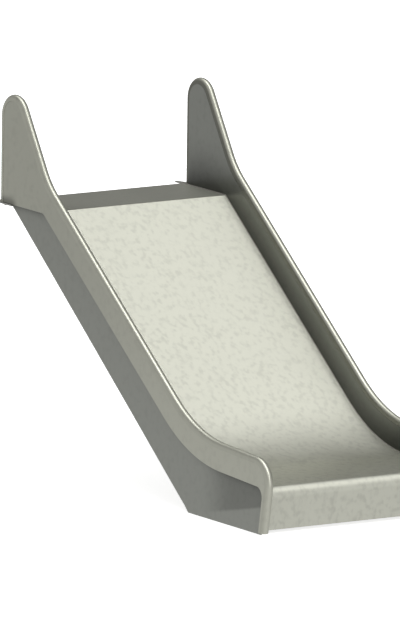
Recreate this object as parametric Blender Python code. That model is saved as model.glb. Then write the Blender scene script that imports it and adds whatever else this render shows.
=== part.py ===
"""Embankment slide of folded sheet steel, with a seat between two tall ears and a low run-out.

Metres, +Z up. +Y points uphill, from the foot to the seat, and X = 0 is the middle of the slide.
The origin is on the ground, under the middle of the foot rail. The side view is drawn in (Y, Z),
and each outline there keeps its outer side on the right of its direction of travel.
"""

import math

import bmesh
import bpy
from mathutils import Vector

# Sheet and gaps
SHEET = 0.003
GAP = 0.0003
CHORD_ERROR = 0.0004
FOLD_RADIUS = 0.005

# Width of the slide
BED_WIDTH = 1.0
CHEEK_THICKNESS = 0.040

# Sliding surface
SEAT_HEIGHT = 1.230
SEAT_DEPTH = 0.385
SEAT_LIP = 0.025
FOLD_Y = 1.792
FOLD_LAND = 0.010
SLOPE = math.radians(36.36)
SLOPE_RUN = 1.330
CURVE_RADIUS = 0.92
RUN_OUT_FALL = math.radians(3.35)
NOSE_RADIUS = 0.039
APRON_LEAN = math.radians(9.4)
APRON_FOOT_Y = -0.128
APRON_RETURN = 0.020
FOOT_CLEARANCE = 0.016

# Cheeks
CHEEK_HEIGHT = 0.150
CHEEK_NOSE_RADIUS = 0.122
LEG_FRONT_Y = -0.200
LEG_WIDTH = 0.047
LEG_JOINT_HEIGHT = 0.100
RIM_RADIUS = CHEEK_THICKNESS / 2
RIM_STEPS = 8
BAND_LIFT = 0.0135
BAND_CORNER_RADIUS = 0.047

# Ears
EAR_BACK_Y = 2.149
EAR_FRONT_POINT = Vector((1.836, 1.528))
EAR_FRONT_ANGLE = math.radians(57.0)
EAR_DOME_RADIUS = 0.106
EAR_ROOT_RADIUS = 0.40

# Side sheets below the bed
PANEL_BACK_Y = 0.509
PANEL_ANGLE = math.radians(37.39)

# Lugs behind the ears
LUG_TOP = SEAT_HEIGHT - 0.0035
LUG_THICKNESS = 0.004
LUG_FOOT = LUG_TOP - LUG_THICKNESS
LUG_FRONT_Y = 2.050
LUG_BACK_Y = 2.250
LUG_TAPER = 0.070
LUG_TIP = 0.007

# Stiffening under the bed
RIB_FLANGE = 0.040
RIB_WEB = 0.060
RIB_LIP = 0.025
SEAT_RIB_Y = 2.000
SLOPE_RIB_YS = (1.653, 1.375, 1.097, 0.819)
CURVE_RIB_Y = 0.480
RUN_OUT_RIB_YS = (0.165, 0.000)
EDGE_FLANGE = 0.030
EDGE_FLANGE_START = 0.060

# Feet
ANGLE_SHEET = 0.005
ANGLE_LEG = 0.050
ANGLE_FOLD = 0.007
BACK_RAIL_Y = 0.450
BASE_FLANGE = 0.040

INNER_X = BED_WIDTH / 2
OUTER_X = INNER_X + CHEEK_THICKNESS

# Finish of the steel, with its colours as linear values
BED_TONE = (0.66, 0.66, 0.58)
CHEEK_TONE = (0.60, 0.60, 0.53)
FRAME_TONE = (0.46, 0.46, 0.42)
ROUGHNESS = 0.4
SHARP_ANGLE = math.radians(30)


def clear_scene():
    for old in list(bpy.data.objects):
        bpy.data.objects.remove(old, do_unlink=True)


def steel(name, tone):
    """Own material of one sub-part."""
    material = bpy.data.materials.new(name + "_steel")
    material.use_nodes = True
    shader = material.node_tree.nodes["Principled BSDF"]
    shader.inputs["Base Color"].default_value = (*tone, 1.0)
    shader.inputs["Metallic"].default_value = 1.0
    shader.inputs["Roughness"].default_value = ROUGHNESS
    return material


def finish(name, bm, tone):
    """Turns the mesh into a named object with its own material."""
    bmesh.ops.recalc_face_normals(bm, faces=bm.faces)
    mesh = bpy.data.meshes.new(name)
    bm.to_mesh(mesh)
    bm.free()
    mesh.materials.append(steel(name, tone))
    mesh.shade_smooth()
    mesh.set_sharp_from_angle(angle=SHARP_ANGLE)
    piece = bpy.data.objects.new(name, mesh)
    bpy.context.scene.collection.objects.link(piece)
    return piece


def direction(angle):
    """Unit vector of the side view, at this angle above +Y."""
    return Vector((math.cos(angle), math.sin(angle)))


def right_of(travel):
    return Vector((travel.y, -travel.x))


def meet(point, angle, other, other_angle):
    """Where two lines of the side view cross."""
    travel = direction(angle)
    across = direction(other_angle)
    return point + travel * ((other - point).cross(across) / travel.cross(across))


def arc_steps(radius, turn):
    widest = 2 * math.acos(max(0.0, 1 - CHORD_ERROR / radius))
    return max(2, math.ceil(abs(turn) / widest))


def rounded(corners):
    """Points of an open path and their outward normals, from (corner, radius) pairs."""
    spots = [spot for spot, _ in corners]
    travels = [(end - start).normalized() for start, end in zip(spots, spots[1:])]
    path = [(spots[0], right_of(travels[0]))]
    for (spot, radius), before, after in zip(corners[1:-1], travels, travels[1:]):
        turn = math.atan2(before.cross(after), before.dot(after))
        side = right_of(before)
        swing = math.copysign(radius, turn)
        centre = spot - before * radius * math.tan(abs(turn) / 2) - side * swing
        steps = arc_steps(radius, turn)
        for step in range(steps + 1):
            angle = turn * step / steps
            normal = side * math.cos(angle) + before * math.sin(angle)
            path.append((centre + normal * swing, normal))
    path.append((spots[-1], right_of(travels[-1])))
    return path


def shifted(path, distance):
    """The path's points, moved outward by this distance."""
    return [point + normal * distance for point, normal in path]


def sweep(rings):
    """Closed solid through rings of equal length, capped at both ends."""
    bm = bmesh.new()
    loops = [[bm.verts.new(point) for point in ring] for ring in rings]
    count = len(rings[0])
    for before, after in zip(loops, loops[1:]):
        for index in range(count):
            following = (index + 1) % count
            bm.faces.new((before[index], before[following], after[following], after[index]))
    bm.faces.new(loops[0])
    bm.faces.new(loops[-1])
    return bm


def folded_sheet(name, path, thickness, x_from, x_to, tone):
    """Sheet whose outer side follows the path, across from x_from to x_to."""
    rings = []
    for outer, inner in zip(shifted(path, 0), shifted(path, -thickness)):
        rings.append(
            [
                Vector((x_from, outer.x, outer.y)),
                Vector((x_to, outer.x, outer.y)),
                Vector((x_to, inner.x, inner.y)),
                Vector((x_from, inner.x, inner.y)),
            ]
        )
    return finish(name, sweep(rings), tone)


def raise_face(bm, face, rise):
    """Thickens a face into a plate."""
    raised = bmesh.ops.extrude_face_region(bm, geom=[face])
    moved = [item for item in raised["geom"] if isinstance(item, bmesh.types.BMVert)]
    bmesh.ops.translate(bm, verts=moved, vec=rise)


def flat_plate(name, outline, x_from, x_to, tone):
    """Plate of this side-view outline, from x_from to x_to."""
    bm = bmesh.new()
    face = bm.faces.new([bm.verts.new((x_from, spot.x, spot.y)) for spot in outline])
    raise_face(bm, face, Vector((x_to - x_from, 0, 0)))
    return finish(name, bm, tone)


def bar(name, low, high, tone):
    """Straight bar between two opposite corners."""
    _, front, bottom = low
    _, back, top = high
    corners = ((front, bottom), (back, bottom), (back, top), (front, top))
    return flat_plate(name, [Vector(corner) for corner in corners], low[0], high[0], tone)


def on_side(side, near, far):
    """X range of a piece on one side, where side is -1 for left and 1 for right."""
    return sorted((side * near, side * far))


# Lines of the side view
FOLD = Vector((FOLD_Y, SEAT_HEIGHT))
RUN_OUT_START = FOLD - direction(SLOPE) * (SLOPE_RUN / math.cos(SLOPE))
APRON_FOOT = Vector((APRON_FOOT_Y, FOOT_CLEARANCE))
APRON_ANGLE = math.pi / 2 + APRON_LEAN
NOSE = meet(RUN_OUT_START, RUN_OUT_FALL, APRON_FOOT, APRON_ANGLE)
LEG_FOOT = Vector((LEG_FRONT_Y, FOOT_CLEARANCE))


def above_slope(height):
    """A point of the line that runs this far above the slope."""
    return FOLD + right_of(-direction(SLOPE)) * height


def above_run_out(height):
    return RUN_OUT_START + right_of(-direction(RUN_OUT_FALL)) * height


def bed_path():
    """Upper side of the bed, from the fold at the seat down to the return under the apron."""
    return rounded(
        [
            (FOLD + Vector((FOLD_LAND, 0)), 0),
            (FOLD, FOLD_RADIUS),
            (RUN_OUT_START, CURVE_RADIUS),
            (NOSE, NOSE_RADIUS),
            (APRON_FOOT, FOLD_RADIUS),
            (APRON_FOOT + Vector((APRON_RETURN, 0)), 0),
        ]
    )


def seat_path():
    """Upper side of the seat, from the lip behind it to the joint beside the fold."""
    back = FOLD + Vector((SEAT_DEPTH, 0))
    return rounded(
        [
            (back - Vector((0, SEAT_LIP)), 0),
            (back, FOLD_RADIUS),
            (FOLD + Vector((FOLD_LAND + GAP, 0)), 0),
        ]
    )


def leg_line(inset):
    """Foot of the line that runs this far inside the leg's front edge."""
    return LEG_FOOT + Vector((inset / math.cos(APRON_LEAN), 0))


def crest_stretches(overrun):
    """Corners of a cheek's outer edge in three stretches: round the ear, down the slope, round the nose.

    They meet on straight runs. The last one ends this far below the leg's foot.
    """
    band_foot = Vector((EAR_BACK_Y, SEAT_HEIGHT + BAND_LIFT))
    slope_crest = above_slope(CHEEK_HEIGHT)
    run_out_crest = above_run_out(CHEEK_HEIGHT)
    dome = (meet(band_foot, math.pi / 2, EAR_FRONT_POINT, EAR_FRONT_ANGLE), EAR_DOME_RADIUS)
    root = (meet(EAR_FRONT_POINT, EAR_FRONT_ANGLE, slope_crest, SLOPE), EAR_ROOT_RADIUS)
    curve = (meet(slope_crest, SLOPE, run_out_crest, RUN_OUT_FALL), CURVE_RADIUS - CHEEK_HEIGHT)
    nose = (meet(run_out_crest, RUN_OUT_FALL, LEG_FOOT, APRON_ANGLE), CHEEK_NOSE_RADIUS)
    joint = slope_crest - direction(SLOPE) * (SLOPE_RUN / 2 / math.cos(SLOPE))
    leg_end = LEG_FOOT - direction(APRON_ANGLE) * overrun
    return {
        "ear": [(band_foot, 0), dome, (EAR_FRONT_POINT, 0)],
        "slope": [(EAR_FRONT_POINT - direction(EAR_FRONT_ANGLE) * GAP, 0), root, (joint, 0)],
        "nose": [(joint - direction(SLOPE) * GAP, 0), curve, nose, (leg_end, 0)],
    }


def rim_foot_line():
    """The line inside a cheek where the rim ends and the flat sheets begin."""
    stretches = crest_stretches(0)
    corners = stretches["ear"][:-1] + stretches["slope"][1:-1] + stretches["nose"][1:]
    return shifted(rounded(corners), -RIM_RADIUS - GAP)


def band_foot_corners():
    """Corners of the outer band's lower edge, from the leg's front back up to the ear."""
    leg_back = LEG_FOOT + Vector((LEG_WIDTH, 0))
    run_out_edge = above_run_out(BAND_LIFT)
    slope_edge = above_slope(BAND_LIFT)
    seat_edge = Vector((EAR_BACK_Y - RIM_RADIUS - GAP, SEAT_HEIGHT + BAND_LIFT))
    return [
        (leg_line(RIM_RADIUS + GAP), 0),
        (leg_back, FOLD_RADIUS),
        (meet(leg_back, APRON_ANGLE, run_out_edge, RUN_OUT_FALL), BAND_CORNER_RADIUS),
        (meet(run_out_edge, RUN_OUT_FALL, slope_edge, SLOPE), CURVE_RADIUS - BAND_LIFT),
        (meet(slope_edge, SLOPE, seat_edge, 0), BAND_CORNER_RADIUS),
        (seat_edge, 0),
    ]


def make_bed():
    edge = INNER_X - GAP
    folded_sheet("slide_bed", bed_path(), SHEET, -edge, edge, BED_TONE)
    folded_sheet("seat_plate", seat_path(), SHEET, -edge, edge, BED_TONE)


def make_side_sheet(label, side):
    """Inner sheet of a cheek, which runs on below the bed to the ground."""
    crest = rim_foot_line()
    panel_back = Vector((PANEL_BACK_Y, 0))
    panel_top = meet(panel_back, PANEL_ANGLE, Vector((0, LUG_FOOT)), 0)
    outline = [Vector((crest[0].x, LUG_FOOT))]
    outline += crest[1:-1]
    outline += [leg_line(RIM_RADIUS + GAP), APRON_FOOT, Vector((APRON_FOOT_Y, 0)), panel_back, panel_top]
    flat_plate(label + "_side_sheet", outline, *on_side(side, INNER_X, INNER_X + SHEET), CHEEK_TONE)


def make_outer_band(label, side):
    """Outer skin of a cheek, as high as the cheek stands above the bed, and its leg."""
    outline = rim_foot_line()[:-1] + shifted(rounded(band_foot_corners()), 0)[:-1]
    flat_plate(label + "_outer_band", outline, *on_side(side, OUTER_X - SHEET, OUTER_X), CHEEK_TONE)


def make_band_closing(label, side):
    """Strips that close a cheek between its two sheets: round the leg, and under the band."""
    corners = band_foot_corners()
    leg_back, _ = corners[1]
    joint = leg_back + direction(APRON_ANGLE) * LEG_JOINT_HEIGHT
    leg = rounded(corners[:2] + [(joint, 0)])
    band = rounded([(joint + direction(APRON_ANGLE) * GAP, 0)] + corners[2:])
    x_range = on_side(side, INNER_X + SHEET + GAP, OUTER_X - SHEET - GAP)
    folded_sheet(label + "_leg_closing", leg, SHEET, *x_range, CHEEK_TONE)
    folded_sheet(label + "_band_return", band, SHEET, *x_range, CHEEK_TONE)


def rim_section(middle, point, normal):
    """Half-round channel section across the rim, with its open side at the sheets."""
    angles = [math.pi * step / RIM_STEPS for step in range(RIM_STEPS + 1)]
    corners = [(RIM_RADIUS, angle) for angle in angles]
    corners += [(RIM_RADIUS - SHEET, angle) for angle in reversed(angles)]
    ring = []
    for radius, angle in corners:
        spot = point + normal * (radius * math.sin(angle) - RIM_RADIUS)
        ring.append(Vector((middle + radius * math.cos(angle), spot.x, spot.y)))
    return ring


def make_rims(label, side):
    """Half-round channels along the cheek's edge, cut level at the leg's foot."""
    middle = side * (INNER_X + RIM_RADIUS)
    for stretch, corners in crest_stretches(2 * RIM_RADIUS).items():
        bm = sweep([rim_section(middle, point, normal) for point, normal in rounded(corners)])
        bmesh.ops.bisect_plane(
            bm,
            geom=bm.verts[:] + bm.edges[:] + bm.faces[:],
            plane_co=(0, 0, FOOT_CLEARANCE),
            plane_no=(0, 0, -1),
            clear_outer=True,
        )
        bmesh.ops.holes_fill(bm, edges=[edge for edge in bm.edges if edge.is_boundary])
        finish(f"{label}_{stretch}_rim", bm, CHEEK_TONE)


def make_back_lug(label, side):
    """Level flange behind the ear, tapered to its tip, which is bolted down at the top of the bank."""
    near = side * (INNER_X + SHEET + GAP)
    far = side * OUTER_X
    tip = near + side * LUG_TIP
    outline = (
        (near, LUG_FRONT_Y),
        (far, LUG_FRONT_Y),
        (far, LUG_BACK_Y - LUG_TAPER),
        (tip, LUG_BACK_Y),
        (near, LUG_BACK_Y),
    )
    bm = bmesh.new()
    face = bm.faces.new([bm.verts.new((x, y, LUG_FOOT)) for x, y in outline])
    raise_face(bm, face, Vector((0, 0, LUG_THICKNESS)))
    finish(label + "_back_lug", bm, FRAME_TONE)


def make_edge_flange(label, side):
    """Flange along the sloping lower edge of a side sheet."""
    foot = Vector((PANEL_BACK_Y, 0))
    top = meet(foot, PANEL_ANGLE, Vector((0, LUG_FOOT)), 0)
    path = rounded([(foot + direction(PANEL_ANGLE) * EDGE_FLANGE_START, 0), (top, 0)])
    x_range = on_side(side, INNER_X - EDGE_FLANGE, INNER_X - GAP)
    folded_sheet(label + "_edge_flange", path, SHEET, *x_range, FRAME_TONE)


def make_base_flange(label, side):
    """Flange on the ground along the foot of a side sheet, between the two cross rails."""
    near, far = on_side(side, INNER_X - BASE_FLANGE, INNER_X - GAP)
    low = (near, ANGLE_LEG / 2 + GAP, 0)
    bar(label + "_base_flange", low, (far, BACK_RAIL_Y - GAP, ANGLE_SHEET), FRAME_TONE)


def make_rail(name, corners):
    """Steel angle across the slide."""
    path = rounded([(corners[0], 0), (corners[1], ANGLE_FOLD), (corners[2], 0)])
    edge = INNER_X - GAP
    folded_sheet(name, path, ANGLE_SHEET, -edge, edge, FRAME_TONE)


def flat_stretch(path, y):
    """The two ends of the path's flat stretch that holds this Y."""
    spots = shifted(path, 0)
    return next((low, high) for high, low in zip(spots, spots[1:]) if low.x <= y <= high.x)


def make_rib(name, path, y):
    """Folded channel across the underside of the bed at this Y, with its flange flat against it.

    Where the bed is curved, the rib sits in the middle of one flat stretch of the curve.
    """
    low, high = flat_stretch(path, y)
    uphill = (high - low).normalized()
    seat = (low + high) / 2
    if (high - low).length > 2 * RIB_FLANGE:
        seat = low + uphill * ((y - low.x) / uphill.x)
    upward = right_of(-uphill)
    foot = seat - upward * (SHEET + GAP)
    corners = [
        (foot + uphill * RIB_FLANGE / 2, 0),
        (foot - uphill * RIB_FLANGE / 2, FOLD_RADIUS),
        (foot - uphill * RIB_FLANGE / 2 - upward * RIB_WEB, FOLD_RADIUS),
        (foot + uphill * (RIB_LIP - RIB_FLANGE / 2) - upward * RIB_WEB, 0),
    ]
    edge = INNER_X - GAP
    folded_sheet(name, rounded(corners), SHEET, -edge, edge, FRAME_TONE)


def make_ribs():
    make_rib("seat_rib", seat_path(), SEAT_RIB_Y)
    for number, y in enumerate(SLOPE_RIB_YS, 1):
        make_rib(f"slope_rib_{number}", bed_path(), y)
    make_rib("curve_rib", bed_path(), CURVE_RIB_Y)
    for number, y in enumerate(RUN_OUT_RIB_YS, 1):
        make_rib(f"run_out_rib_{number}", bed_path(), y)


def make_rails():
    front = -ANGLE_LEG / 2
    back = ANGLE_LEG / 2
    make_rail("foot_rail", [Vector((front, 0)), Vector((back, 0)), Vector((back, ANGLE_LEG))])
    start = Vector((BACK_RAIL_Y, 0))
    make_rail("back_rail", [start + Vector((0, ANGLE_LEG)), start, start + Vector((ANGLE_LEG, 0))])


def main():
    clear_scene()
    make_bed()
    for label, side in (("left", -1), ("right", 1)):
        make_side_sheet(label, side)
        make_outer_band(label, side)
        make_band_closing(label, side)
        make_rims(label, side)
        make_back_lug(label, side)
        make_edge_flange(label, side)
        make_base_flange(label, side)
    make_ribs()
    make_rails()


main()
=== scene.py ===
"""Looks of the embankment slide: folded, welded and ground sheet steel, faintly clouded, in a pale studio.

Metres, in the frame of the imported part: +Z up, +Y uphill from the foot to the seat, X = 0 in the middle.
The side view is drawn in (Y, Z), as lists of (corner, radius) pairs, and each line there has the outer
side of the steel on the right of its direction of travel.
"""

import math

import bpy
from mathutils import Matrix, Vector


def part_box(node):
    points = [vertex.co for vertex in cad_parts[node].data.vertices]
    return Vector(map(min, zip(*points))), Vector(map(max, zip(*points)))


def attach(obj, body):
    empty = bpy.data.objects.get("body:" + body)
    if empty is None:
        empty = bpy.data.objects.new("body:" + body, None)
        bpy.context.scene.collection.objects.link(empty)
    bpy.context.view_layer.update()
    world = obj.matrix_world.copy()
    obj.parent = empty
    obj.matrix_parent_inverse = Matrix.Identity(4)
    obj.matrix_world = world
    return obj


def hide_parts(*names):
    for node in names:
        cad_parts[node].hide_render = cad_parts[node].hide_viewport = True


bl_info = {
    "name": "Embankment Slide",
    "version": (1, 0, 0),
    "blender": (4, 5, 0),
    "location": "3D View > Sidebar > Slide",
    "description": "Sheets, rims, stiffening, welds and finish of a steel embankment slide",
    "category": "Add Mesh",
}

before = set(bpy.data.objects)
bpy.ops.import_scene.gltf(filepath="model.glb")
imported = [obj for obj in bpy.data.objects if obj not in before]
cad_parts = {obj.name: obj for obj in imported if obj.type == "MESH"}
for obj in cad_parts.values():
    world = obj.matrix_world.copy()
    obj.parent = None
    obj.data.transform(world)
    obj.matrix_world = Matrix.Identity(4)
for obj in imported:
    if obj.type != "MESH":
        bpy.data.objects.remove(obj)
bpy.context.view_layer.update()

# Sides of the slide, looking uphill
SIDES = {"left": -1, "right": 1}

# Steel
SHEET = 0.003
FOLD_RADIUS = 0.005
BAND_FOLD = 0.004
EDGE_BREAK = 0.0006
GAP = 0.0003

# How far the ears' backs reach behind those of the solids
EAR_REACH = 0.008

# Straight lips of the rims, the rounded edge of these, and the step from them to the bands
RIM_LIP = 0.010
LIP_ROUND = 0.0015
SEAM_STEP = 0.0018

# Fineness of the rounds
CHORD_ERROR = 0.00008
RIM_STEPS = 24
FOLD_STEPS = 4
EDGE_STEPS = 2
SMOOTH_ANGLE = math.radians(32)
FOLD_ANGLE = math.radians(60)
SAME_PLACE = 0.00004

# Ends of the bed and of the seat
FOLD_LAND = 0.010
APRON_RETURN = 0.020
SEAT_LIP = 0.025

# Lugs behind the ears
LUG_TAPER = 0.070
LUG_TIP = 0.007
LUG_CORNER = 0.003

# Stiffening under the bed
RIB_FLANGE = 0.040
RIB_WEB = 0.060
RIB_LIP = 0.025
RIB_YS = {
    "seat_rib": 2.000,
    "slope_rib_1": 1.653,
    "slope_rib_2": 1.375,
    "slope_rib_3": 1.097,
    "slope_rib_4": 0.819,
    "curve_rib": 0.480,
    "run_out_rib_1": 0.165,
    "run_out_rib_2": 0.000,
}
EDGE_FLANGE = 0.030
EDGE_FLANGE_START = 0.060
ANGLE_SHEET = 0.005
ANGLE_LEG = 0.050
ANGLE_FOLD = 0.007

# Welds
FILLET = 0.004
FILLET_STEPS = 5

# Clouds and flecks of the finish: how many to a metre, how fine, and at which levels of noise they show.
# Outside the clouds the flecks keep only the least share of their depth.
CLOUD_SCALE = 6
CLOUD_DETAIL = 3
CLOUD_LEVELS = (0.35, 0.60)
CLOUD_LEAST = 0.75
FLECK_SCALE = (38, 30, 30)
FLECK_DETAIL = 1.5
FLECK_LEVELS = (0.36, 0.80)
GLOSS_LEVELS = (0.3, 0.7)
GLOSS_CHANGE = 0.015

# How many times fainter the flecks are on the seat and on the cheeks
SEAT_FAINTER = 3
CHEEK_FAINTER = 2

# Grain of the finish: fine lines down the slide
GRAIN_SCALE = (900, 14, 14)
GRAIN_DETAIL = 2
GRAIN_STRENGTH = 0.06
GRAIN_DEPTH = 0.0004

# Painted shade in hollows: how far off the walls count, and how open the deepest are
HOLLOW_REACH = 0.3
HOLLOW_DEEPEST = 0.5

# Turn of a face away from the middle: where it counts as an inner one and where as an outer one
INNER_TO_OUTER_TURN = (-0.5, 0.5)

# Where the painted shade begins, and where it is full
HEIGHT_SHADE_Z = (0.1, 1.3)
LUG_SHADE_Y = (1.970, 2.060)
LUG_SHADE_Z = (1.290, 1.225)
LEG_SHADE_Y = (0.48, 0.05)
LEG_SHADE_LINE = (0.42, 0.53)
LEG_SHADE_RUN = 4.6

# Where the painted shade is full, and where it no longer is; past the last, the ears' back edges are left as
# a painted highlight
INNER_SHADE_TURN = (-1.0, -0.7)
CROWN_SHADE_TURN = (0.85, 1.0)
BACK_EDGE_HIGHLIGHT_Y = (2.112, 2.128)

# Share of the brightness that the painted shade leaves where it is full, by piece
CHEEK_LEFT = {"height": 0.80, "lug": 0.45}
RIM_LEFT = {"height": 0.93, "lug": 0.60, "inner": 0.40, "crown": 0.93, "back_edge": 0.94}
PANEL_LEFT = {"height": 0.90, "hollow_inner": 0.24, "hollow_outer": 0.45, "inner": 0.85, "leg": 0.66}

# Colour sockets of a Mix node, by place, because several of its sockets share their names
MIX_FIRST = 6
MIX_SECOND = 7
MIX_RESULT = 2
BLACK = (0, 0, 0, 1)
WHITE = (1, 1, 1, 1)

# Studio, in the parts of a unit vector that points at a place in it: where one tone ends and the next begins
LEFT_TO_FRONT_X = (-0.50, 0.10)
BACK_TO_FRONT_Y = (0.90, 0.10)
BACK_TO_LOW_Z = (0.75, 0.40)
LOW_BACK_X = (-0.10, 0.45)
LAMP_BACK_Y = (0.84, 0.05)
LAMP_FRONT_Y = (-0.86, -0.45)
HORIZON_Z = (-0.08, 0.06)
FLOOR_SIZE = 80

# Camera: its angles, its aim and its distances in metres, its lens and sensor in millimetres
AZIMUTH = math.radians(-32.413)
ELEVATION = math.radians(10.224)
ROLL = math.radians(0.705)
AIM = Vector((-0.0256, 1.1784, 0.7787))
DISTANCE = 87.55
NEAREST = 1
FARTHEST = 400
LENS = 1050
SENSOR = 36


def length(name, description, default):
    return bpy.props.FloatProperty(
        name=name, description=description, default=default, precision=4, unit="LENGTH"
    )


def tilt(name, description, degrees):
    return bpy.props.FloatProperty(
        name=name, description=description, default=math.radians(degrees), unit="ROTATION"
    )


def colour(name, description, default):
    return bpy.props.FloatVectorProperty(
        name=name, description=description, default=default, size=3, min=0, max=1, subtype="COLOR"
    )


def amount(name, description, default, most=1, least=0):
    return bpy.props.FloatProperty(
        name=name, description=description, default=default, min=least, max=most
    )


class SlideSizes(bpy.types.PropertyGroup):
    """Sizes that the slide's lines are worked out from."""

    inner_x: length(
        "Inner half width", "From the middle to a cheek's inner side", -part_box("left_side_sheet")[1].x
    )
    outer_x: length(
        "Outer half width", "From the middle to a cheek's outer side", -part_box("left_outer_band")[0].x
    )
    seat_height: length("Seat height", "Top of the seat above the ground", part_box("seat_plate")[1].z)
    seat_back_y: length("Seat back", "Back of the seat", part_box("seat_plate")[1].y)
    fold_y: length("Fold", "Where the seat folds down into the slope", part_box("slide_bed")[1].y - FOLD_LAND)
    slope: tilt("Slope", "Fall of the chute", 36.36)
    slope_run: length("Slope run", "Level length of the chute, to where it would meet the run-out", 1.330)
    curve_radius: length("Curve radius", "Radius between the chute and the run-out", 0.92)
    run_out_fall: tilt("Run-out fall", "Fall of the run-out", 2.85)
    nose_radius: length("Nose radius", "Radius between the run-out and the apron", 0.048)
    apron_lean: tilt("Apron lean", "Overhang of the apron and the legs", 9.4)
    apron_foot_y: length("Apron foot", "Foot of the apron", -0.128)
    foot_clearance: length("Foot clearance", "Ground to the foot of the apron or a leg", 0.018)
    cheek_height: length("Cheek height", "Height of a cheek above the bed", 0.150)
    cheek_nose_radius: length("Cheek nose radius", "Radius at the front of a cheek", 0.122)
    leg_front_y: length("Leg front", "Front of a leg's foot", -0.1995)
    leg_width: length("Leg width", "Depth of a leg's foot", 0.047)
    band_lift: length("Band lift", "Foot of an outer band above the bed", 0.0135)
    band_corner: length("Band corner", "Radius of an outer band's lower corners", 0.047)
    ear_back_y: length("Ear back", "Back edge of the ears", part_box("left_ear_rim")[1].y + EAR_REACH)
    ear_front_y: length("Ear front", "A point of an ear's front edge", 1.836)
    ear_front_z: length("Ear front height", "Height of that point", 1.528)
    ear_front_tilt: tilt("Ear front tilt", "Steepness of an ear's front edge", 57.0)
    ear_dome_radius: length("Ear dome", "Radius of an ear's top", 0.1113)
    ear_root_radius: length("Ear root", "Radius where an ear runs into its cheek", 0.40)
    lug_foot: length("Lug foot", "Underside of the lugs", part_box("left_back_lug")[0].z)
    lug_thickness: length("Lug thickness", "Thickness of the lugs, which the ears stand on", 0.0075)
    panel_back_y: length("Panel back", "Back of the side panels' foot", 0.509)
    panel_tilt: tilt("Panel tilt", "Rise of the side panels' lower edge", 37.39)


class SlideFinish(bpy.types.PropertyGroup):
    """Colours and gloss of the steel."""

    bed_colour: colour("Bed", "Clouded satin steel of the bed and the seat", (0.655, 0.66, 0.575))
    cheek_colour: colour("Cheeks", "Satin steel of the bands and rims", (0.595, 0.60, 0.515))
    # The side sheets' steel is darker than the bands': painted shade for the recessed side panels and the
    # cheeks' inner sides
    shaded_panel_colour: colour("Side panels", "Satin steel of the side sheets", (0.38, 0.39, 0.355))
    frame_colour: colour("Stiffening", "Mill finish of ribs, rails and lugs", (0.40, 0.40, 0.37))
    weld_colour: colour("Welds", "Brushed weld metal", (0.32, 0.31, 0.28))
    bed_roughness: amount("Bed roughness", "Roughness of the bed and the seat", 0.41)
    cheek_roughness: amount("Cheek roughness", "Roughness of the bands and the side sheets", 0.30)
    rim_roughness: amount("Rim roughness", "Roughness of the rims", 0.42)
    mill_roughness: amount("Mill roughness", "Roughness of the stiffening and the welds", 0.52)
    brushing: amount("Brushing", "How far the bed's brushing spreads its gloss across the slide", 0.9)
    clouding: amount("Clouding", "Depth of the dark flecks in the finish", 0.13)


class StudioLight(bpy.types.PropertyGroup):
    """Soft light of the studio, and its pale floor."""

    front: amount("Front", "Brightness of the studio overhead and on the right", 0.46, 10)
    left: amount("Left", "Brightness of the studio on the left", 0.68, 10)
    back: amount("Back", "Share of that brightness behind the slide", 0.05)
    back_low: amount("Back, low", "Share of that brightness low behind the slide", 0.42)
    lamp: amount("Lamp", "Brightness of the long lamp above the slide", 5.6, 50)
    lamp_place: amount("Lamp place", "Side place of the lamp, as a share of its distance", 0.02, 1, -1)
    lamp_width: amount("Lamp width", "Half width of the lamp, as a share of its distance", 0.18)
    lamp_edge: amount("Lamp edge", "Softness of the lamp's edges, as a share of its distance", 0.12)
    lamp_back: amount("Lamp back", "Share of the lamp's brightness at its back end", 0.0)
    lamp_fall: amount("Lamp fall", "How early the lamp dims towards its back end", 0.82, 4)
    lamp_front: amount("Lamp front", "Share of the lamp's brightness at its front end", 0.55, 2)
    ground: amount("Ground", "Brightness of the ground in the steel", 0.85, 10)
    ground_rise: amount("Ground rise", "How much brighter the ground is in front", 0.18, 10)
    floor_tone: amount("Floor tone", "Paleness of the floor", 0.8)
    floor_glow: amount("Floor glow", "Light given off by the floor", 0.75, 10)


def direction(steepness):
    """Unit vector of the side view, at this angle above +Y."""
    return Vector((math.cos(steepness), math.sin(steepness)))


def left_of(travel):
    return Vector((-travel.y, travel.x))


def meet(spot, steepness, other, other_steepness):
    """Where two lines of the side view cross."""
    travel = direction(steepness)
    across = direction(other_steepness)
    return spot + travel * ((other - spot).cross(across) / travel.cross(across))


def travels_of(corners):
    spots = [spot for spot, _ in corners]
    return [(end - start).normalized() for start, end in zip(spots, spots[1:])]


def beside(corners, distance):
    """The same line moved this far to its left, with its rounds kept concentric."""
    travels = travels_of(corners)
    moved = [(corners[0][0] + left_of(travels[0]) * distance, 0)]
    for (spot, radius), before, after in zip(corners[1:-1], travels, travels[1:]):
        shift = (left_of(before) + left_of(after)) / (1 + before.dot(after))
        moved.append((spot + shift * distance, radius - math.copysign(distance, before.cross(after))))
    moved.append((corners[-1][0] + left_of(travels[-1]) * distance, 0))
    return moved


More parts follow.
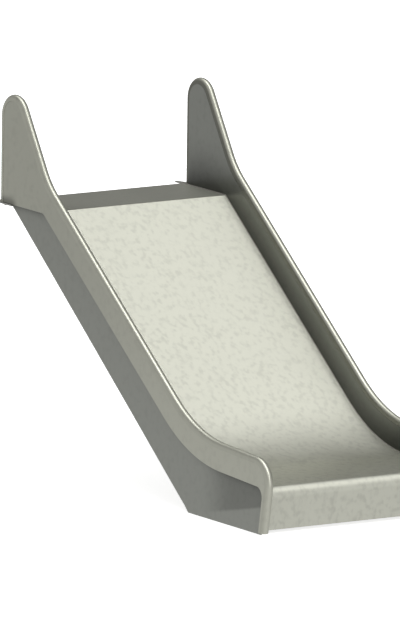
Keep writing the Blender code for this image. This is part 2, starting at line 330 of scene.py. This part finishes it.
class SideView:
    """Lines of the side view, worked out from the sizes."""

    def __init__(self, sizes):
        self.sizes = sizes
        self.leg_tilt = math.pi / 2 + sizes.apron_lean
        self.rim_radius = (sizes.outer_x - sizes.inner_x) / 2
        self.sheet_inset = self.rim_radius + RIM_LIP + GAP
        self.fold = Vector((sizes.fold_y, sizes.seat_height))
        self.run_out = self.fold - direction(sizes.slope) * (sizes.slope_run / math.cos(sizes.slope))
        self.apron_foot = Vector((sizes.apron_foot_y, sizes.foot_clearance))
        self.leg_foot = Vector((sizes.leg_front_y, sizes.foot_clearance))

    def above_slope(self, height):
        return self.fold + left_of(direction(self.sizes.slope)) * height

    def above_run_out(self, height):
        return self.run_out + left_of(direction(self.sizes.run_out_fall)) * height

    def leg_line(self, inset):
        """Foot of the line that runs this far inside a leg's front edge."""
        return self.leg_foot + Vector((inset / math.cos(self.sizes.apron_lean), 0))

    def bed(self):
        """Upper side of the bed, from the seat's joint down to the return under the apron."""
        sizes = self.sizes
        nose = meet(self.run_out, sizes.run_out_fall, self.apron_foot, self.leg_tilt)
        return [
            (self.fold + Vector((FOLD_LAND, 0)), 0),
            (self.fold, FOLD_RADIUS),
            (self.run_out, sizes.curve_radius),
            (nose, sizes.nose_radius),
            (self.apron_foot, FOLD_RADIUS),
            (self.apron_foot + Vector((APRON_RETURN, 0)), 0),
        ]

    def seat(self):
        """Upper side of the seat, from its lip to the joint beside the fold."""
        back = Vector((self.sizes.seat_back_y, self.sizes.seat_height))
        return [
            (back - Vector((0, SEAT_LIP)), 0),
            (back, FOLD_RADIUS),
            (self.fold + Vector((FOLD_LAND, 0)), 0),
        ]

    def crest(self):
        """Outer edge of a cheek, from the ear's back foot round to the leg's foot."""
        sizes = self.sizes
        back_foot = Vector((sizes.ear_back_y, sizes.lug_foot + sizes.lug_thickness + GAP))
        front = Vector((sizes.ear_front_y, sizes.ear_front_z))
        slope_crest = self.above_slope(sizes.cheek_height)
        run_out_crest = self.above_run_out(sizes.cheek_height)
        dome = meet(back_foot, math.pi / 2, front, sizes.ear_front_tilt)
        root = meet(front, sizes.ear_front_tilt, slope_crest, sizes.slope)
        curve = meet(slope_crest, sizes.slope, run_out_crest, sizes.run_out_fall)
        nose = meet(run_out_crest, sizes.run_out_fall, self.leg_foot, self.leg_tilt)
        return [
            (back_foot, 0),
            (dome, sizes.ear_dome_radius),
            (root, sizes.ear_root_radius),
            (curve, sizes.curve_radius - sizes.cheek_height),
            (nose, sizes.cheek_nose_radius),
            (self.leg_foot, 0),
        ]

    def sheet_top(self):
        """Line where the rim ends and the flat sheets begin, down to the leg's foot."""
        return beside(self.crest(), self.sheet_inset)[:-1] + [(self.leg_line(self.sheet_inset), 0)]

    def band_foot(self):
        """Lower edge of an outer band, from the leg's front back up to the ear."""
        sizes = self.sizes
        leg_back = self.leg_foot + Vector((sizes.leg_width, 0))
        run_out_edge = self.above_run_out(sizes.band_lift)
        slope_edge = self.above_slope(sizes.band_lift)
        seat_edge = self.sheet_top()[0][0]
        leg_corner = meet(leg_back, self.leg_tilt, run_out_edge, sizes.run_out_fall)
        curve = meet(run_out_edge, sizes.run_out_fall, slope_edge, sizes.slope)
        ear_corner = meet(slope_edge, sizes.slope, seat_edge, 0)
        return [
            (self.leg_line(self.sheet_inset), 0),
            (leg_back, FOLD_RADIUS),
            (leg_corner, sizes.band_corner),
            (curve, sizes.curve_radius - sizes.band_lift),
            (ear_corner, sizes.band_corner),
            (seat_edge, 0),
        ]

    def panel_foot(self):
        """Lower edge of a side panel, from the leg back along the ground and up to the ear's back."""
        sizes = self.sizes
        back = Vector((sizes.panel_back_y, 0))
        ear_foot = Vector((self.sheet_top()[0][0].x, sizes.lug_foot))
        return [
            (self.leg_line(self.sheet_inset), 0),
            (self.apron_foot, 0),
            (Vector((sizes.apron_foot_y, 0)), 0),
            (back, 0),
            (back + direction(sizes.panel_tilt) * EDGE_FLANGE_START, 0),
            (meet(back, sizes.panel_tilt, ear_foot, 0), 0),
            (ear_foot, 0),
        ]

    def bed_at(self, y):
        """Point of the bed or seat at this Y, and its steepness there."""
        sizes = self.sizes
        reach = sizes.curve_radius * math.tan((sizes.slope - sizes.run_out_fall) / 2)
        low = self.run_out - direction(sizes.run_out_fall) * reach
        high = self.run_out + direction(sizes.slope) * reach
        if y > self.fold.x:
            return Vector((y, sizes.seat_height)), 0
        if y > high.x:
            return meet(self.fold, sizes.slope, Vector((y, 0)), math.pi / 2), sizes.slope
        if y < low.x:
            return meet(low, sizes.run_out_fall, Vector((y, 0)), math.pi / 2), sizes.run_out_fall
        centre = low + left_of(direction(sizes.run_out_fall)) * sizes.curve_radius
        steepness = math.asin((y - centre.x) / sizes.curve_radius)
        return centre - left_of(direction(steepness)) * sizes.curve_radius, steepness

    def rib(self, y):
        """Outer side of a folded channel whose flange lies flat under the bed at this Y."""
        seat, steepness = self.bed_at(y)
        uphill = direction(steepness)
        upward = left_of(uphill)
        foot = seat - upward * (SHEET + GAP)
        return [
            (foot + uphill * RIB_FLANGE / 2, 0),
            (foot - uphill * RIB_FLANGE / 2, FOLD_RADIUS),
            (foot - uphill * RIB_FLANGE / 2 - upward * RIB_WEB, FOLD_RADIUS),
            (foot + uphill * (RIB_LIP - RIB_FLANGE / 2) - upward * RIB_WEB, 0),
        ]


def select(piece, test):
    """Selects, in edit mode, the piece's points that pass this test, and the edges and faces between them."""
    bpy.ops.mesh.select_mode(type="VERT")
    bpy.ops.mesh.select_all(action="DESELECT")
    bpy.ops.object.mode_set(mode="OBJECT")
    for vertex in piece.data.vertices:
        vertex.select = test(piece.matrix_world @ vertex.co)
    bpy.ops.object.mode_set(mode="EDIT")


def start(name, x, spot):
    """Starts a piece as one selected point, in edit mode."""
    bpy.ops.object.select_all(action="DESELECT")
    bpy.ops.mesh.primitive_plane_add(size=SHEET, location=(x, spot.x, spot.y))
    piece = bpy.context.object
    piece.name = name
    bpy.ops.object.mode_set(mode="EDIT")
    bpy.ops.mesh.merge(type="CENTER")
    bpy.ops.mesh.select_mode(type="VERT")
    bpy.ops.mesh.select_all(action="SELECT")
    return piece


def pull(x=0.0, y=0.0, z=0.0):
    """Extrudes what is selected by this much."""
    if Vector((x, y, z)).length > SAME_PLACE:
        bpy.ops.mesh.extrude_context_move(TRANSFORM_OT_translate={"value": (x, y, z)})


def round_steps(radius, turn):
    return max(2, math.ceil(abs(turn) / (2 * math.acos(1 - CHORD_ERROR / radius))))


def carry(corners):
    """Carries what is selected along a line of the side view: extrudes straight runs, spins round corners."""
    travels = travels_of(corners)
    here = corners[0][0]
    for (spot, radius), before, after in zip(corners[1:-1], travels, travels[1:]):
        turn = math.atan2(before.cross(after), before.dot(after))
        reach = radius * math.tan(abs(turn) / 2)
        into = spot - before * reach
        pull(0, *(into - here))
        if radius:
            centre = into + left_of(before) * math.copysign(radius, turn)
            steps = round_steps(radius, turn)
            bpy.ops.mesh.spin(steps=steps, angle=turn, center=(0, *centre), axis=(-1, 0, 0))
        here = spot + after * reach
    pull(0, *(corners[-1][0] - here))


def sheet_strip(name, x_from, x_to, corners):
    """A strip across the slide, carried along a line of the side view."""
    piece = start(name, x_from, corners[0][0])
    pull(x_to - x_from)
    bpy.ops.mesh.select_all(action="SELECT")
    carry(corners)
    return piece


def apply_modifier(piece, kind, **settings):
    modifier = piece.modifiers.new(kind.lower(), kind)
    for name, value in settings.items():
        setattr(modifier, name, value)
    bpy.ops.object.modifier_apply(modifier=modifier.name)


def thicken(piece, thickness, outward):
    """Gives a sheet its wall, behind the side where its largest face looks outward."""
    bpy.ops.mesh.select_all(action="SELECT")
    bpy.ops.mesh.remove_doubles(threshold=SAME_PLACE)
    bpy.ops.mesh.normals_make_consistent(inside=False)
    bpy.ops.object.mode_set(mode="OBJECT")
    largest = max(piece.data.polygons, key=lambda face: face.area)
    if largest.normal.dot(Vector(outward)) < 0:
        bpy.ops.object.mode_set(mode="EDIT")
        bpy.ops.mesh.flip_normals()
        bpy.ops.object.mode_set(mode="OBJECT")
    apply_modifier(piece, "SOLIDIFY", thickness=thickness, offset=-1, use_even_offset=True)


def round_folds(radius):
    """Rounds the sharp folds of a sheet that has no wall yet."""
    bpy.ops.mesh.select_mode(type="EDGE")
    bpy.ops.mesh.select_all(action="DESELECT")
    bpy.ops.mesh.edges_select_sharp(sharpness=FOLD_ANGLE)
    bpy.ops.mesh.bevel(offset=radius, segments=FOLD_STEPS, affect="EDGES")


def finish(piece, material, slot, *nodes, edge_break=0):
    """Breaks the piece's edges, shades it, gives it its steel and hands it to the frame."""
    bpy.ops.object.mode_set(mode="OBJECT")
    bpy.ops.object.transform_apply(location=True, rotation=True, scale=True)
    if edge_break:
        apply_modifier(piece, "BEVEL", width=edge_break, segments=EDGE_STEPS, angle_limit=FOLD_ANGLE)
    bpy.ops.object.shade_smooth_by_angle(angle=SMOOTH_ANGLE)
    apply_modifier(piece, "WEIGHTED_NORMAL", keep_sharp=True)
    piece.data.materials.clear()
    piece.data.materials.append(material)
    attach(piece, "root")
    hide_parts(*nodes)


def add_node(tree, kind, inputs, **settings):
    """Adds a shader node. An input is a value, or the socket that feeds it."""
    node = tree.nodes.new(kind)
    for name, value in settings.items():
        setattr(node, name, value)
    for name, value in inputs.items():
        if isinstance(value, bpy.types.NodeSocket):
            tree.links.new(value, node.inputs[name])
        else:
            node.inputs[name].default_value = value
    return node


def ramp(tree, value, low, high, to_low=0.0, to_high=1.0, shape="SMOOTHSTEP"):
    """Step of a value between two levels, smooth unless another shape is named."""
    inputs = {"Value": value, "From Min": low, "From Max": high, "To Min": to_low, "To Max": to_high}
    return add_node(tree, "ShaderNodeMapRange", inputs, interpolation_type=shape).outputs["Result"]


def noise(tree, place, scale, detail):
    inputs = {"Vector": place, "Scale": scale, "Detail": detail}
    return add_node(tree, "ShaderNodeTexNoise", inputs).outputs["Fac"]


def stretched(tree, place, scale):
    return add_node(tree, "ShaderNodeMapping", {"Vector": place, "Scale": scale}).outputs["Vector"]


def compute(tree, operation, *values):
    inputs = dict(enumerate(values))
    return add_node(tree, "ShaderNodeMath", inputs, operation=operation).outputs["Value"]


def blend_values(tree, share, first, second):
    inputs = {"Factor": share, "A": first, "B": second}
    return add_node(tree, "ShaderNodeMix", inputs).outputs["Result"]


def separate(tree, vector):
    return add_node(tree, "ShaderNodeSeparateXYZ", {"Vector": vector}).outputs


def outward_turn(tree, place):
    """How far a surface faces away from the middle of the slide: 1 outwards, -1 inwards."""
    normal = separate(tree, add_node(tree, "ShaderNodeNewGeometry", {}).outputs["Normal"])
    return compute(tree, "MULTIPLY", normal["X"], compute(tree, "SIGN", place["X"]))


def hollow_painted_shade(inner_left, outer_left):
    """Painted shade: darkens hollows, until these shares of the brightness are left in the deepest, inside
    and outside.
    """

    def share(tree, place):
        openness = add_node(tree, "ShaderNodeAmbientOcclusion", {"Distance": HOLLOW_REACH}).outputs["AO"]
        left = ramp(tree, outward_turn(tree, place), *INNER_TO_OUTER_TURN, inner_left, outer_left)
        return ramp(tree, openness, HOLLOW_DEEPEST, 1.0, left, 1.0)

    return share


def height_painted_shade(left):
    """Painted shade: darkens the slide towards its top, until this share of the brightness is left."""

    def share(tree, place):
        return ramp(tree, place["Z"], *HEIGHT_SHADE_Z, 1.0, left)

    return share


def inner_painted_shade(left):
    """Painted shade: darkens what faces the middle of the slide, until this share of the brightness is left.
    """

    def share(tree, place):
        return ramp(tree, outward_turn(tree, place), *INNER_SHADE_TURN, left, 1.0)

    return share


def crown_painted_shade(left):
    """Painted shade: darkens the rims, except their outer sides, until this share of the brightness is left,
    which dims their highlight.
    """

    def share(tree, place):
        return ramp(tree, outward_turn(tree, place), *CROWN_SHADE_TURN, left, 1.0)

    return share


def back_edge_painted_highlight(left):
    """Painted highlight on the ears' back edges: dulls the rest of the rims to this share of the brightness,
    which leaves those edges lighter.
    """

    def share(tree, place):
        return ramp(tree, place["Y"], *BACK_EDGE_HIGHLIGHT_Y, left, 1.0)

    return share


def lug_painted_shade(left):
    """Painted shade: darkens the ears' foot above the lugs, where they meet, until this share of the
    brightness is left.
    """

    def share(tree, place):
        low = ramp(tree, place["Z"], *LUG_SHADE_Z)
        behind = ramp(tree, place["Y"], *LUG_SHADE_Y)
        return ramp(tree, compute(tree, "MULTIPLY", low, behind), 0.0, 1.0, 1.0, left)

    return share


def leg_painted_shade(left):
    """Painted shade: darkens the panels behind the legs, above a line that rises to the legs."""

    def share(tree, place):
        near = ramp(tree, place["Y"], *LEG_SHADE_Y)
        above = compute(tree, "MULTIPLY_ADD", place["Z"], LEG_SHADE_RUN, place["Y"])
        dulled = compute(tree, "MULTIPLY", near, ramp(tree, above, *LEG_SHADE_LINE))
        return ramp(tree, dulled, 0.0, 1.0, 1.0, left)

    return share


def steel(name, tone, roughness, clouding, brushing=0.0, painted_shades=()):
    """Satin steel with soft clouds, small darker flecks and a fine grain that runs down the slide.

    brushing spreads its gloss across the slide, and painted_shades darken it by place, as painted shade; on
    the rims they leave a painted highlight on the ears' back edges.
    """
    if name in bpy.data.materials:
        return bpy.data.materials[name]
    material = bpy.data.materials.new(name)
    material.use_nodes = True
    tree = material.node_tree
    shader = tree.nodes["Principled BSDF"]
    place = add_node(tree, "ShaderNodeTexCoord", {}).outputs["Object"]
    clouds = noise(tree, place, CLOUD_SCALE, CLOUD_DETAIL)
    flecks = ramp(tree, noise(tree, stretched(tree, place, FLECK_SCALE), 1, FLECK_DETAIL), *FLECK_LEVELS)
    dark = compute(tree, "MULTIPLY", flecks, ramp(tree, clouds, *CLOUD_LEVELS, CLOUD_LEAST, 1.0))
    level = ramp(tree, dark, 0.0, 1.0, 1.0, 1.0 - clouding)
    parts = separate(tree, place)
    for shade in painted_shades:
        level = compute(tree, "MULTIPLY", level, shade(tree, parts))
    mixed = add_node(tree, "ShaderNodeMix", {"Factor": level}, data_type="RGBA")
    mixed.inputs[MIX_FIRST].default_value = BLACK
    mixed.inputs[MIX_SECOND].default_value = (*tone, 1)
    tree.links.new(mixed.outputs[MIX_RESULT], shader.inputs["Base Color"])
    gloss = ramp(tree, clouds, *GLOSS_LEVELS, roughness - GLOSS_CHANGE, roughness + GLOSS_CHANGE)
    tree.links.new(gloss, shader.inputs["Roughness"])
    shader.inputs["Metallic"].default_value = 1.0
    if brushing:
        shader.inputs["Anisotropic"].default_value = brushing
        across = add_node(tree, "ShaderNodeCombineXYZ", {"X": 1.0}).outputs["Vector"]
        tree.links.new(across, shader.inputs["Tangent"])
    grain = noise(tree, stretched(tree, place, GRAIN_SCALE), 1, GRAIN_DETAIL)
    relief = {"Height": grain, "Strength": GRAIN_STRENGTH, "Distance": GRAIN_DEPTH}
    bump = add_node(tree, "ShaderNodeBump", relief)
    tree.links.new(bump.outputs["Normal"], shader.inputs["Normal"])
    return material


def bed_steel(look):
    return steel("bed_satin", look.bed_colour, look.bed_roughness, look.clouding, look.brushing)


def seat_steel(look):
    clouding = look.clouding / SEAT_FAINTER
    return steel("seat_satin", look.bed_colour, look.bed_roughness, clouding, look.brushing)


def cheek_steel(look):
    painted_shades = (height_painted_shade(CHEEK_LEFT["height"]), lug_painted_shade(CHEEK_LEFT["lug"]))
    clouding = look.clouding / CHEEK_FAINTER
    return steel("cheek_satin", look.cheek_colour, look.cheek_roughness, clouding, painted_shades=painted_shades)


def rim_steel(look):
    painted_shades = (
        height_painted_shade(RIM_LEFT["height"]),
        lug_painted_shade(RIM_LEFT["lug"]),
        inner_painted_shade(RIM_LEFT["inner"]),
        crown_painted_shade(RIM_LEFT["crown"]),
        back_edge_painted_highlight(RIM_LEFT["back_edge"]),
    )
    clouding = look.clouding / CHEEK_FAINTER
    return steel("rim_polish", look.cheek_colour, look.rim_roughness, clouding, painted_shades=painted_shades)


def panel_steel(look):
    painted_shades = (
        height_painted_shade(PANEL_LEFT["height"]),
        hollow_painted_shade(PANEL_LEFT["hollow_inner"], PANEL_LEFT["hollow_outer"]),
        inner_painted_shade(PANEL_LEFT["inner"]),
        leg_painted_shade(PANEL_LEFT["leg"]),
    )
    clouding = look.clouding / CHEEK_FAINTER
    return steel("panel_satin", look.shaded_panel_colour, look.cheek_roughness, clouding, painted_shades=painted_shades)


def frame_steel(look):
    return steel("mill_finish", look.frame_colour, look.mill_roughness, look.clouding)


def weld_steel(look):
    return steel("weld_metal", look.weld_colour, look.mill_roughness, look.clouding)


class SLIDE_OT_bed(bpy.types.Operator):
    """Folds the bed and the seat"""

    bl_idname = "slide.bed"
    bl_label = "Bed and Seat"

    def execute(self, context):
        view = SideView(context.scene.slide_sizes)
        look = context.scene.slide_finish
        edge = view.sizes.inner_x - GAP
        for name, corners, material, node in (
            ("bed_sheet", view.bed(), bed_steel(look), "slide_bed"),
            ("seat_sheet", view.seat(), seat_steel(look), "seat_plate"),
        ):
            piece = sheet_strip(name, -edge, edge, corners)
            thicken(piece, SHEET, (0, 0, 1))
            finish(piece, material, "bed_steel", node)
        return {"FINISHED"}


class SLIDE_OT_side_panels(bpy.types.Operator):
    """Cuts and folds the full-height inner sheet of each cheek"""

    bl_idname = "slide.side_panels"
    bl_label = "Side Panels"

    def execute(self, context):
        view = SideView(context.scene.slide_sizes)
        look = context.scene.slide_finish
        sizes = view.sizes
        foot = view.panel_foot()
        # The flange is folded from the sloping edge, which ends at the last corner but one
        fold_start, fold_end = foot[-3][0], foot[-2][0]
        for label, side in SIDES.items():
            outer = side * (sizes.inner_x + SHEET)
            piece = start(label + "_panel", outer, foot[0][0])
            carry(foot)
            carry([(foot[-1][0], 0), (view.sheet_top()[0][0], 0)])
            carry(view.sheet_top())
            bpy.ops.mesh.select_all(action="SELECT")
            bpy.ops.mesh.remove_doubles(threshold=SAME_PLACE)
            bpy.ops.mesh.select_all(action="SELECT")
            bpy.ops.mesh.edge_face_add()
            ends = (fold_start, fold_end)
            select(piece, lambda spot: min((spot.yz - end).length for end in ends) < SAME_PLACE)
            pull(-side * (EDGE_FLANGE + SHEET))
            round_folds(FOLD_RADIUS)
            thicken(piece, SHEET, (side, 0, 0))
            nodes = (label + "_side_sheet", label + "_edge_flange")
            finish(piece, panel_steel(look), "cheek_steel", *nodes)
        return {"FINISHED"}


class SLIDE_OT_bands(bpy.types.Operator):
    """Folds the outer band of each cheek, with its leg and the returns under it"""

    bl_idname = "slide.bands"
    bl_label = "Outer Bands"

    def execute(self, context):
        view = SideView(context.scene.slide_sizes)
        look = context.scene.slide_finish
        sizes = view.sizes
        for label, side in SIDES.items():
            outer = side * (sizes.outer_x - SEAM_STEP)
            inner = side * (sizes.inner_x + SHEET)
            piece = sheet_strip(label + "_band", inner, outer, view.band_foot())
            seat_edge = view.sheet_top()[0][0]
            tip = Vector((outer, *seat_edge))
            select(piece, lambda spot: (spot - tip).length < SAME_PLACE)
            carry(view.sheet_top())
            bpy.ops.mesh.select_all(action="SELECT")
            bpy.ops.mesh.remove_doubles(threshold=SAME_PLACE)
            select(piece, lambda spot: abs(spot.x - outer) < SAME_PLACE)
            bpy.ops.mesh.edge_face_add()
            round_folds(BAND_FOLD)
            thicken(piece, SHEET, (side, 0, 0))
            nodes = (label + "_outer_band", label + "_band_return", label + "_leg_closing")
            finish(piece, cheek_steel(look), "cheek_steel", *nodes)
        return {"FINISHED"}


class SLIDE_OT_rims(bpy.types.Operator):
    """Rolls the half-round rim round each cheek"""

    bl_idname = "slide.rims"
    bl_label = "Rims"

    def execute(self, context):
        view = SideView(context.scene.slide_sizes)
        look = context.scene.slide_finish
        sizes = view.sizes
        overrun = view.leg_foot - direction(view.leg_tilt) * (2 * view.rim_radius)
        corners = view.crest()[:-1] + [(overrun, 0)]
        back_foot = corners[0][0]
        for label, side in SIDES.items():
            middle = side * (sizes.inner_x + view.rim_radius)
            begin = back_foot - Vector((view.rim_radius + RIM_LIP, 0))
            piece = start(label + "_rim", middle + view.rim_radius, begin)
            pull(y=RIM_LIP)
            centre = (middle, back_foot.x - view.rim_radius, back_foot.y)
            bpy.ops.mesh.spin(steps=RIM_STEPS, angle=math.pi, center=centre, axis=(0, 0, -1))
            pull(y=-RIM_LIP)
            select(piece, lambda spot: abs(spot.y - begin.x) < SAME_PLACE)
            bpy.ops.mesh.edge_face_add()
            bpy.ops.mesh.select_all(action="SELECT")
            carry(corners)
            bpy.ops.mesh.select_all(action="SELECT")
            bpy.ops.mesh.fill_holes(sides=0)
            bpy.ops.mesh.select_all(action="SELECT")
            bpy.ops.mesh.bisect(
                plane_co=(0, 0, sizes.foot_clearance),
                plane_no=(0, 0, 1),
                use_fill=True,
                clear_inner=True,
            )
            bpy.ops.mesh.select_all(action="SELECT")
            bpy.ops.mesh.normals_make_consistent(inside=False)
            nodes = [f"{label}_{stretch}_rim" for stretch in ("ear", "slope", "nose")]
            finish(piece, rim_steel(look), "cheek_steel", *nodes, edge_break=LIP_ROUND)
        return {"FINISHED"}


class SLIDE_OT_lugs(bpy.types.Operator):
    """Cuts the tapered lug behind each ear"""

    bl_idname = "slide.lugs"
    bl_label = "Back Lugs"

    def execute(self, context):
        look = context.scene.slide_finish
        sizes = context.scene.slide_sizes
        for label, side in SIDES.items():
            low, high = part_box(label + "_back_lug")
            near = min(low.x, high.x, key=abs)
            far = max(low.x, high.x, key=abs)
            piece = start(label + "_lug", near, Vector((low.y, sizes.lug_foot + sizes.lug_thickness)))
            pull(far - near)
            bpy.ops.mesh.select_all(action="SELECT")
            pull(y=high.y - LUG_TAPER - low.y)
            pull(y=LUG_TAPER)
            select(piece, lambda spot: spot.y > high.y - SAME_PLACE and abs(spot.x - far) < SAME_PLACE)
            bpy.ops.transform.translate(value=(near + side * LUG_TIP - far, 0, 0))
            bpy.ops.mesh.bevel(offset=LUG_CORNER, segments=FOLD_STEPS, affect="VERTICES")
            thicken(piece, sizes.lug_thickness, (0, 0, 1))
            finish(piece, frame_steel(look), "frame_steel", label + "_back_lug", edge_break=EDGE_BREAK)
        return {"FINISHED"}


class SLIDE_OT_ribs(bpy.types.Operator):
    """Folds the channels across the underside of the bed"""

    bl_idname = "slide.ribs"
    bl_label = "Ribs"

    def execute(self, context):
        view = SideView(context.scene.slide_sizes)
        look = context.scene.slide_finish
        edge = view.sizes.inner_x - GAP
        for node, y in RIB_YS.items():
            _, steepness = view.bed_at(y)
            piece = sheet_strip(node.replace("rib", "channel"), -edge, edge, view.rib(y))
            thicken(piece, SHEET, (0, *-direction(steepness)))
            finish(piece, frame_steel(look), "frame_steel", node, edge_break=EDGE_BREAK)
        return {"FINISHED"}


class SLIDE_OT_rails(bpy.types.Operator):
    """Rolls the two steel angles on the ground and finishes the flanges between them"""

    bl_idname = "slide.rails"
    bl_label = "Foot Rails"

    def execute(self, context):
        view = SideView(context.scene.slide_sizes)
        look = context.scene.slide_finish
        edge = view.sizes.inner_x - GAP
        for node, toe, heel in (("foot_rail", 0, 1), ("back_rail", 1, 0)):
            low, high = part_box(node)
            toe_y = (low.y, high.y)[toe]
            heel_y = (low.y, high.y)[heel]
            corners = [
                (Vector((toe_y, low.z)), 0),
                (Vector((heel_y, low.z)), ANGLE_FOLD),
                (Vector((heel_y, high.z)), 0),
            ]
            piece = sheet_strip(node.replace("rail", "angle"), -edge, edge, corners)
            thicken(piece, ANGLE_SHEET, (0, heel_y - toe_y, -ANGLE_LEG))
            finish(piece, frame_steel(look), "frame_steel", node, edge_break=EDGE_BREAK)
        for label in SIDES:
            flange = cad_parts[label + "_base_flange"]
            flange.data.materials.clear()
            flange.data.materials.append(frame_steel(look))
        return {"FINISHED"}


class SLIDE_OT_fillets(bpy.types.Operator):
    """Runs a ground fillet weld along both edges of the bed and the seat"""

    bl_idname = "slide.fillets"
    bl_label = "Fillet Welds"

    def execute(self, context):
        view = SideView(context.scene.slide_sizes)
        look = context.scene.slide_finish
        corners = [view.seat()[1], *view.bed()[1:-1]]
        begin = corners[0][0]
        for label, side in SIDES.items():
            toe = side * (view.sizes.inner_x - FILLET)
            piece = start(label + "_bed_weld", toe, begin)
            centre = (toe, begin.x, begin.y + FILLET)
            bpy.ops.mesh.spin(steps=FILLET_STEPS, angle=side * math.pi / 2, center=centre, axis=(0, 1, 0))
            pull(z=-FILLET)
            bpy.ops.mesh.select_all(action="SELECT")
            carry(corners)
            bpy.ops.mesh.select_all(action="SELECT")
            bpy.ops.mesh.normals_make_consistent(inside=False)
            finish(piece, weld_steel(look), "frame_steel")
        return {"FINISHED"}


class SLIDE_OT_stage(bpy.types.Operator):
    """Lays the pale floor, lights it softly and sets the camera"""

    bl_idname = "slide.stage"
    bl_label = "Studio"

    def execute(self, context):
        light = context.scene.slide_light
        bpy.ops.object.select_all(action="DESELECT")
        bpy.ops.mesh.primitive_plane_add(size=FLOOR_SIZE, location=(0, 0, 0))
        floor = context.object
        floor.name = "studio_floor"
        floor.data.materials.append(floor_finish(light))
        floor.visible_glossy = False
        floor.visible_diffuse = False
        floor.visible_shadow = False
        context.scene.world = studio_world(light)
        context.scene.view_settings.view_transform = "Standard"
        set_camera(context.scene)
        return {"FINISHED"}


def floor_finish(light):
    material = bpy.data.materials.new("pale_floor")
    material.use_nodes = True
    shader = material.node_tree.nodes["Principled BSDF"]
    shader.inputs["Base Color"].default_value = (light.floor_tone, light.floor_tone, light.floor_tone, 1)
    shader.inputs["Roughness"].default_value = 1.0
    shader.inputs["Specular IOR Level"].default_value = 0.0
    shader.inputs["Emission Color"].default_value = WHITE
    shader.inputs["Emission Strength"].default_value = light.floor_glow
    return material


def studio_world(light):
    """Soft studio for the steel: a bright sky that dims behind, a long lamp overhead and pale ground.

    The camera itself sees plain white.
    """
    world = bpy.data.worlds.new("studio")
    world.use_nodes = True
    tree = world.node_tree
    tree.nodes.clear()
    gaze = add_node(tree, "ShaderNodeTexCoord", {}).outputs["Generated"]
    parts = separate(tree, gaze)
    sky = ramp(tree, parts["X"], *LEFT_TO_FRONT_X, light.left, light.front)
    back_low = ramp(tree, parts["X"], *LOW_BACK_X, 1.0, light.back_low)
    back = blend_values(tree, ramp(tree, parts["Z"], *BACK_TO_LOW_Z), light.back, back_low)
    fullness = blend_values(tree, ramp(tree, parts["Y"], *BACK_TO_FRONT_Y), back, 1.0)
    sky = compute(tree, "MULTIPLY", sky, fullness)
    off_centre = compute(tree, "ABSOLUTE", compute(tree, "SUBTRACT", parts["X"], light.lamp_place))
    near, far = light.lamp_width - light.lamp_edge, light.lamp_width + light.lamp_edge
    lamp = ramp(tree, off_centre, far, near, 0.0, light.lamp)
    back_fall = ramp(tree, parts["Y"], *LAMP_BACK_Y, light.lamp_back, 1.0, "LINEAR")
    lamp = compute(tree, "MULTIPLY", lamp, compute(tree, "POWER", back_fall, light.lamp_fall))
    lamp = compute(tree, "MULTIPLY", lamp, ramp(tree, parts["Y"], *LAMP_FRONT_Y, light.lamp_front, 1.0))
    sky = compute(tree, "ADD", sky, lamp)
    ground = compute(tree, "MULTIPLY_ADD", parts["Y"], -light.ground_rise, light.ground)
    glow = blend_values(tree, ramp(tree, parts["Z"], *HORIZON_Z), ground, sky)
    dome = add_node(tree, "ShaderNodeBackground", {"Strength": glow}).outputs["Background"]
    white = add_node(tree, "ShaderNodeBackground", {"Color": WHITE}).outputs["Background"]
    seen = add_node(tree, "ShaderNodeLightPath", {}).outputs["Is Camera Ray"]
    mixed = add_node(tree, "ShaderNodeMixShader", {"Fac": seen, 1: dome, 2: white}).outputs["Shader"]
    add_node(tree, "ShaderNodeOutputWorld", {"Surface": mixed})
    return world


def set_camera(scene):
    """Camera at the photograph's angle, far off, because the photograph has almost no perspective."""
    back = Vector(
        (
            math.sin(AZIMUTH) * math.cos(ELEVATION),
            -math.cos(AZIMUTH) * math.cos(ELEVATION),
            math.sin(ELEVATION),
        )
    )
    camera = bpy.data.objects.new("studio_camera", bpy.data.cameras.new("studio_camera"))
    scene.collection.objects.link(camera)
    camera.data.lens = LENS
    camera.data.sensor_width = SENSOR
    camera.data.clip_start = NEAREST
    camera.data.clip_end = FARTHEST
    turn = (-back).to_track_quat("-Z", "Y").to_matrix().to_4x4() @ Matrix.Rotation(ROLL, 4, "Z")
    camera.matrix_world = Matrix.Translation(AIM + back * DISTANCE) @ turn
    scene.camera = camera


class SLIDE_PT_panel(bpy.types.Panel):
    """Lists the steps that make the slide"""

    bl_idname = "SLIDE_PT_panel"
    bl_label = "Embankment Slide"
    bl_space_type = "VIEW_3D"
    bl_region_type = "UI"
    bl_category = "Slide"

    def draw(self, context):
        for step in STEPS:
            self.layout.operator(step.bl_idname)


STEPS = (
    SLIDE_OT_bed,
    SLIDE_OT_side_panels,
    SLIDE_OT_bands,
    SLIDE_OT_rims,
    SLIDE_OT_lugs,
    SLIDE_OT_ribs,
    SLIDE_OT_rails,
    SLIDE_OT_fillets,
    SLIDE_OT_stage,
)
SETTINGS = {"slide_sizes": SlideSizes, "slide_finish": SlideFinish, "slide_light": StudioLight}
CLASSES = (*SETTINGS.values(), *STEPS, SLIDE_PT_panel)


def register():
    for item in CLASSES:
        bpy.utils.register_class(item)
    for name, group in SETTINGS.items():
        setattr(bpy.types.Scene, name, bpy.props.PointerProperty(type=group))


def unregister():
    for name in SETTINGS:
        delattr(bpy.types.Scene, name)
    for item in reversed(CLASSES):
        bpy.utils.unregister_class(item)


def main():
    register()
    bpy.ops.slide.bed()
    bpy.ops.slide.side_panels()
    bpy.ops.slide.bands()
    bpy.ops.slide.rims()
    bpy.ops.slide.lugs()
    bpy.ops.slide.ribs()
    bpy.ops.slide.rails()
    bpy.ops.slide.fillets()
    bpy.ops.slide.stage()


if __name__ == "__main__":
    main()
